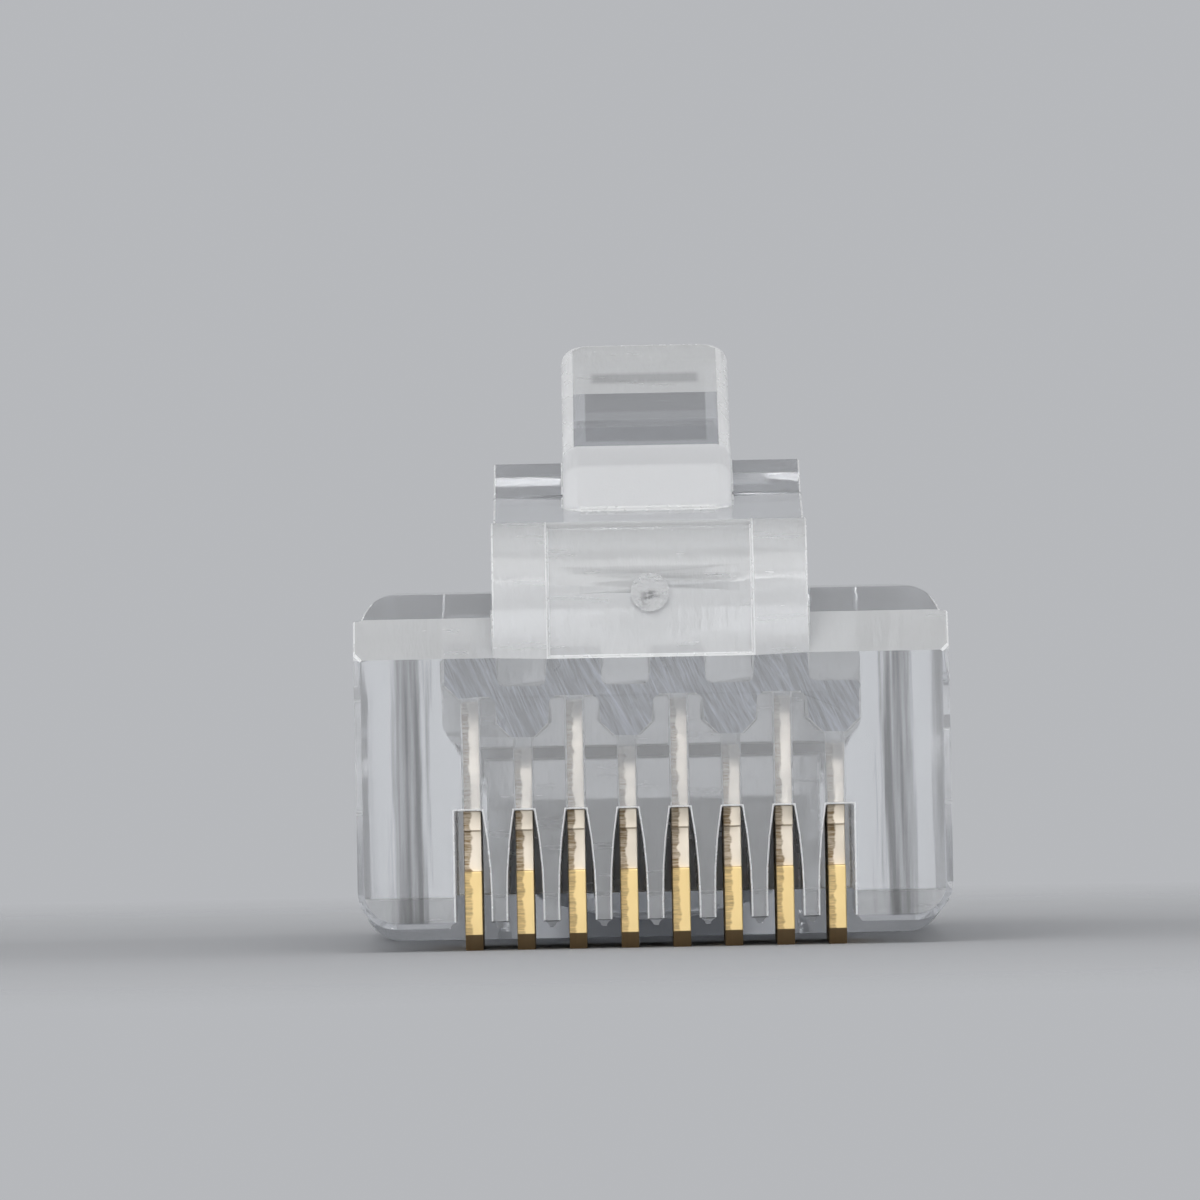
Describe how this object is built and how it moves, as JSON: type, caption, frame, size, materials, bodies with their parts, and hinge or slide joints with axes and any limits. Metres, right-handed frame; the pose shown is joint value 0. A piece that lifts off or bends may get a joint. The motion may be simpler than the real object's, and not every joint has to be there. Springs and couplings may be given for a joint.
{
  "type": "modular plug",
  "caption": "Clear modular plug with a row of stamped contacts in a comb, a sprung latch on top and a round cable entry behind.",
  "frame": {"origin": "bottom centre of the plug: the plane of the contact tips and the tail's underside, midway along its length and width", "axes": "-Y is the nose that enters the jack, +Y the way the cable leaves, +Z the latch side, contacts face -Z"},
  "size_m": [0.0116, 0.0216, 0.0119],
  "materials": {
    "clear_plastic": "clear, polished, slightly milky",
    "gold_plate": "gold plate over stamped phosphor bronze"
  },
  "bodies": {
    "plug": {"housing": "clear_plastic", "contact_1": "gold_plate", "contact_2": "gold_plate", "contact_3": "gold_plate", "contact_4": "gold_plate", "contact_5": "gold_plate", "contact_6": "gold_plate", "contact_7": "gold_plate", "contact_8": "gold_plate"},
    "latch": {"latch": "clear_plastic"}
  },
  "joints": [
    {"name": "latch_flex", "type": "hinge", "parent": "plug", "child": "latch", "pos_m": [0, -0.009, 0.00793], "axis": [-1, 0, 0], "range_deg": [0, 11], "stiffness_Nm_per_rad": 0.02}
  ]
}
